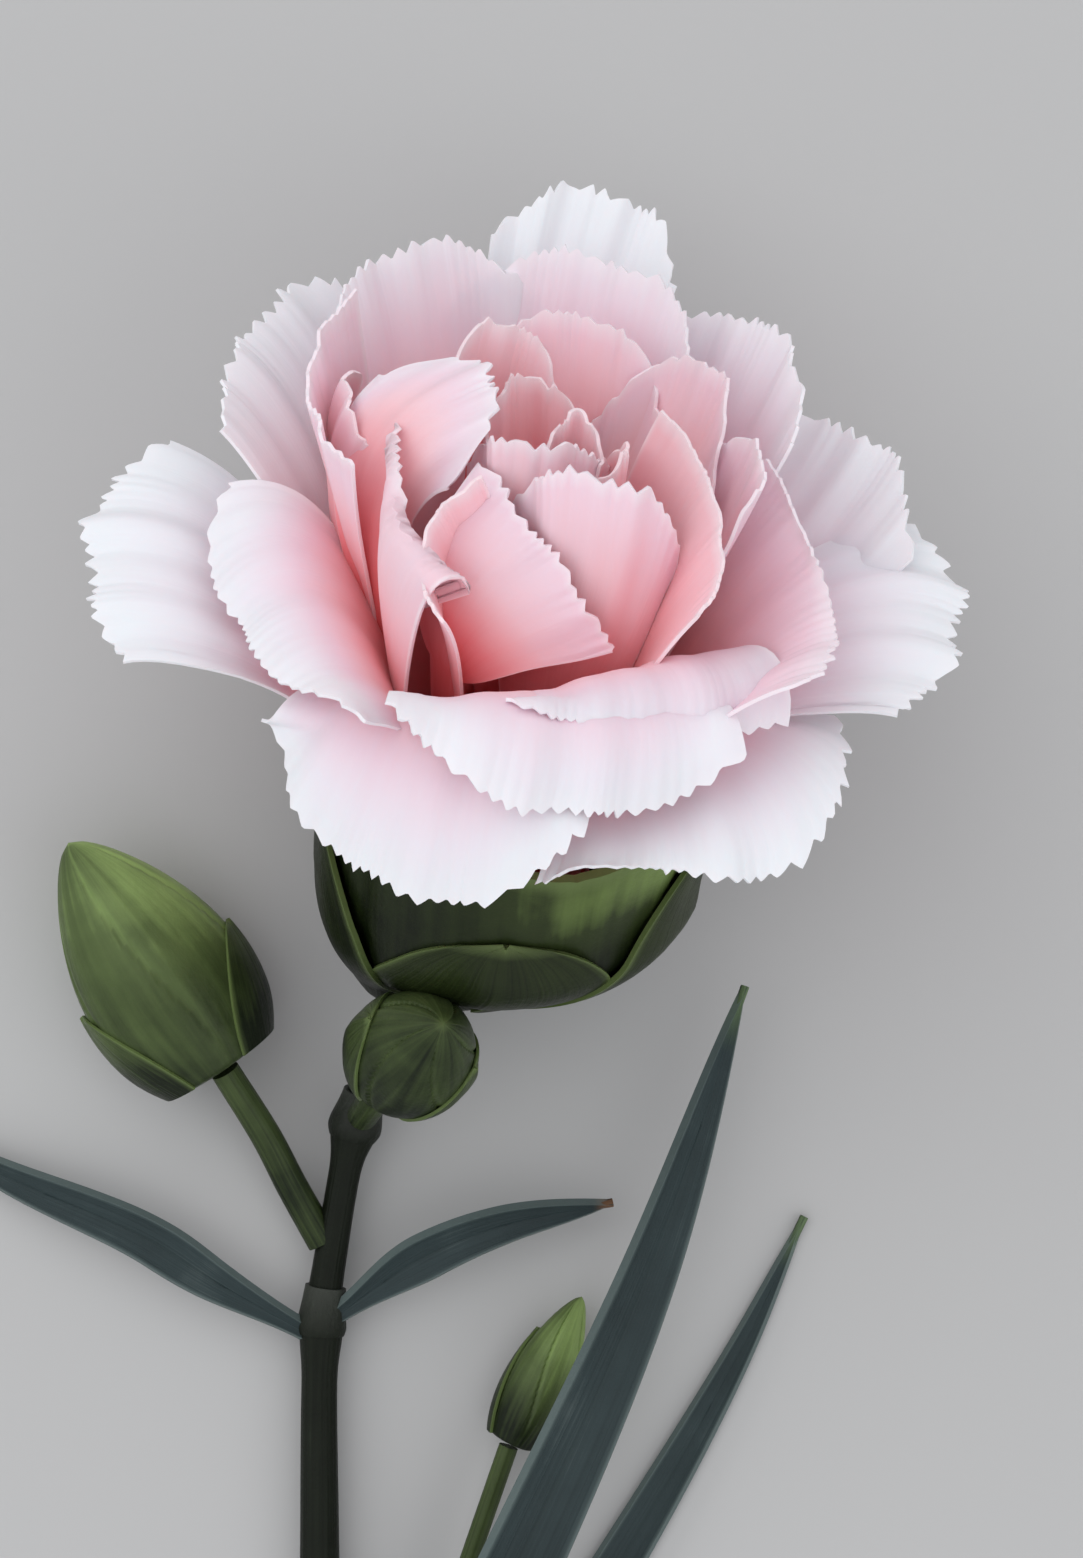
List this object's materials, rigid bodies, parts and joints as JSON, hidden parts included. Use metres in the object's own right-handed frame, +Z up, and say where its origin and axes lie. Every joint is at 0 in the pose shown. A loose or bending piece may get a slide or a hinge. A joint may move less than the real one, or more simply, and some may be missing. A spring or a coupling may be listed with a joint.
{
  "type": "cut carnation",
  "caption": "Pale pink cut carnation lying down, with a toothed double bloom, green buds and narrow blue-green leaves",
  "frame": {"origin": "middle of the footprint, on the surface that the flower lies on", "axes": "+Z up from the surface, +Y along the stem from the cut end to the bloom, +X to the right as seen from above"},
  "size_m": [0.0928, 0.1964, 0.0591],
  "materials": {
    "petal": "soft matt petal, near white at the toothed margin and coral pink at the throat",
    "calyx": "dark green waxy sepal",
    "bud": "mid green waxy bud",
    "stem": "dark grey-green waxy stem",
    "leaf": "blue-green leaf with a pale wax bloom"
  },
  "bodies": {
    "root": {"stem": "stem", "calyx": "calyx", "front_flap_petal": "petal", "front_inner_petal": "petal", "front_core_petal": "petal", "centre_curl_petal": "petal", "left_inner_petal": "petal", "left_edge_petal": "petal", "left_strip_petal": "petal", "right_inner_petal": "petal", "back_core_petal": "petal", "right_core_petal": "petal", "back_left_inner_petal": "petal", "left_folded_petal": "petal", "left_upright_petal": "petal", "back_inner_petal": "petal", "back_right_inner_petal": "petal", "right_folded_petal": "petal", "lower_right_short_petal": "petal", "lower_middle_petal": "petal", "left_front_petal": "petal", "right_front_petal": "petal", "back_left_petal": "petal", "back_middle_petal": "petal", "back_right_petal": "petal", "outer_lower_left_petal": "petal", "outer_lower_right_petal": "petal", "outer_left_petal": "petal", "outer_right_petal": "petal", "outer_upper_left_petal": "petal", "outer_upper_right_petal": "petal", "outer_top_petal": "petal", "outer_back_left_petal": "petal", "outer_back_right_petal": "petal", "calyx_bract_left": "calyx", "calyx_bract_right": "calyx", "calyx_bract_front": "calyx", "calyx_bract_back": "calyx", "front_bud_bract_1": "calyx", "front_bud_bract_2": "calyx", "left_bud_bract_1": "calyx", "left_bud_bract_2": "calyx", "front_bud": "bud", "left_bud": "bud", "shoot_bud": "bud", "front_bud_stalk": "stem", "left_bud_stalk": "stem", "shoot_stalk": "stem", "left_leaf": "leaf", "right_leaf": "leaf", "tall_leaf": "leaf", "low_leaf": "leaf"}
  },
  "joints": []
}
